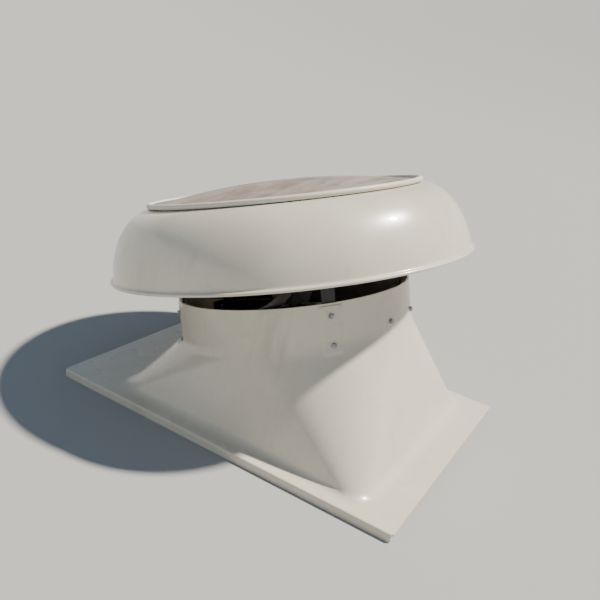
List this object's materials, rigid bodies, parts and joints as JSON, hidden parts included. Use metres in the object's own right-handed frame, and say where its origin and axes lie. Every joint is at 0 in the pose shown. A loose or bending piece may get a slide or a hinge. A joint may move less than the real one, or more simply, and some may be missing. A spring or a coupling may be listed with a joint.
{
  "type": "roof exhaust fan",
  "caption": "Roof exhaust fan: square-to-round hopper base with side lips, short barrel, axial impeller on a hung motor, and a round weather cap on uprights.",
  "frame": {"origin": "centre of the bounding box on the plane that the base's side lips stand on", "axes": "+Z square to the roof plane, +X along the long flange and down the slope; the barrel leans 19 degrees towards -X so that it is upright on a sloped roof"},
  "size_m": [1.2107, 1.144, 0.8081],
  "materials": {
    "gelcoat": "glossy cream-white gelcoat on glass-fibre laminate",
    "weathered_gelcoat": "weathered, stained gelcoat",
    "black_steel": "black paint on steel",
    "zinc_steel": "zinc-plated, dulled",
    "motor_paint": "grey-blue machine enamel",
    "cast_aluminium": "sand-cast",
    "copper_windings": "varnished windings and laminations",
    "bright_steel": "ground",
    "black_plastic": "moulded nylon",
    "rubber_sheath": "matt cable sheath"
  },
  "bodies": {
    "root": {"cap_shell": "gelcoat", "top_panel": "weathered_gelcoat", "cap_ring": "black_steel", "upright_front": "black_steel", "upright_bolt_front_upper": "zinc_steel", "upright_bolt_front_lower": "zinc_steel", "ring_bolt_front": "zinc_steel", "upright_right": "black_steel", "upright_bolt_right_upper": "zinc_steel", "upright_bolt_right_lower": "zinc_steel", "ring_bolt_right": "zinc_steel", "upright_back": "black_steel", "upright_bolt_back_upper": "zinc_steel", "upright_bolt_back_lower": "zinc_steel", "ring_bolt_back": "zinc_steel", "upright_left": "black_steel", "upright_bolt_left_upper": "zinc_steel", "upright_bolt_left_lower": "zinc_steel", "ring_bolt_left": "zinc_steel", "cap_bolt_1": "zinc_steel", "cap_bolt_2": "zinc_steel", "cap_bolt_3": "zinc_steel", "cap_bolt_4": "zinc_steel", "motor_frame": "black_steel", "rail_bolt_front_right": "zinc_steel", "rail_bolt_back_right": "zinc_steel", "rail_bolt_back_left": "zinc_steel", "rail_bolt_front_left": "zinc_steel", "motor_drive_end": "motor_paint", "motor_housing": "motor_paint", "motor_rear_end": "motor_paint", "motor_stator": "copper_windings", "bearing_drive_end": "bright_steel", "bearing_rear_end": "bright_steel", "motor_fan_cowl": "motor_paint", "motor_bolt_1": "zinc_steel", "motor_bolt_2": "zinc_steel", "motor_bolt_3": "zinc_steel", "motor_bolt_4": "zinc_steel", "terminal_box": "motor_paint", "terminal_lid": "motor_paint", "motor_gland": "black_plastic", "wall_gland": "black_plastic", "motor_lead": "rubber_sheath", "lead_clip_1": "zinc_steel", "lead_clip_2": "zinc_steel", "base_moulding": "gelcoat"},
    "impeller": {"motor_shaft": "bright_steel", "motor_rotor": "cast_aluminium", "motor_cooling_fan": "black_plastic", "impeller_hub": "cast_aluminium", "impeller_blade_1": "black_steel", "impeller_blade_2": "black_steel", "impeller_blade_3": "black_steel", "impeller_blade_4": "black_steel", "hub_bolt": "zinc_steel"}
  },
  "joints": [
    {"name": "impeller_spin", "type": "hinge", "parent": "root", "child": "impeller", "pos_m": [0.0946, 0, 0], "axis": [-0.3256, 0, 0.9455], "continuous": true}
  ]
}
